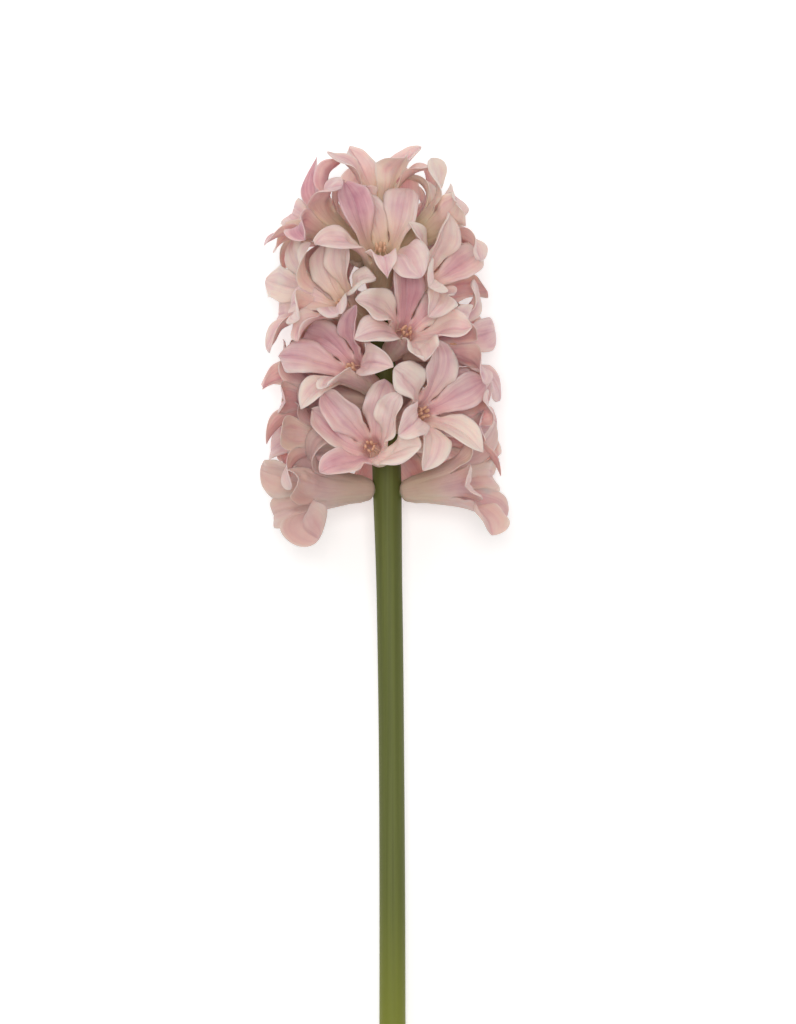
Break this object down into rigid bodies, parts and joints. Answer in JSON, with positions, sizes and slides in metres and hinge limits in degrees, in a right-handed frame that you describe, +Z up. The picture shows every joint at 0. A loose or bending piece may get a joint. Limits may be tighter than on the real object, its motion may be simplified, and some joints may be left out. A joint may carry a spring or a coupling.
{
  "type": "hyacinth flower",
  "caption": "Cut hyacinth flower lying down: a straight green stem with a dense spike of pale pink, lily-shaped florets whose lobes curl back.",
  "frame": {"origin": "on the surface the flower lies on, at the centre of its bounding box seen from above", "axes": "+Z up from the surface, +Y from the cut end of the stem towards the tip of the spike"},
  "size_m": [0.0754, 0.298, 0.0726],
  "materials": {
    "stem": "satin green plant tissue",
    "petal": "soft waxy petal, pale pink"
  },
  "bodies": {
    "root": {"stem": "stem", "floret_01": "petal", "floret_02": "petal", "floret_03": "petal", "floret_04": "petal", "floret_05": "petal", "floret_06": "petal", "floret_07": "petal", "floret_08": "petal", "floret_09": "petal", "floret_10": "petal", "floret_11": "petal", "floret_12": "petal", "floret_13": "petal", "floret_14": "petal", "floret_15": "petal", "floret_16": "petal", "floret_17": "petal", "floret_18": "petal", "floret_19": "petal", "floret_20": "petal", "floret_21": "petal", "floret_22": "petal", "floret_23": "petal", "floret_24": "petal", "floret_25": "petal", "floret_26": "petal", "floret_27": "petal", "floret_28": "petal", "floret_29": "petal", "floret_30": "petal", "floret_31": "petal"}
  },
  "joints": []
}
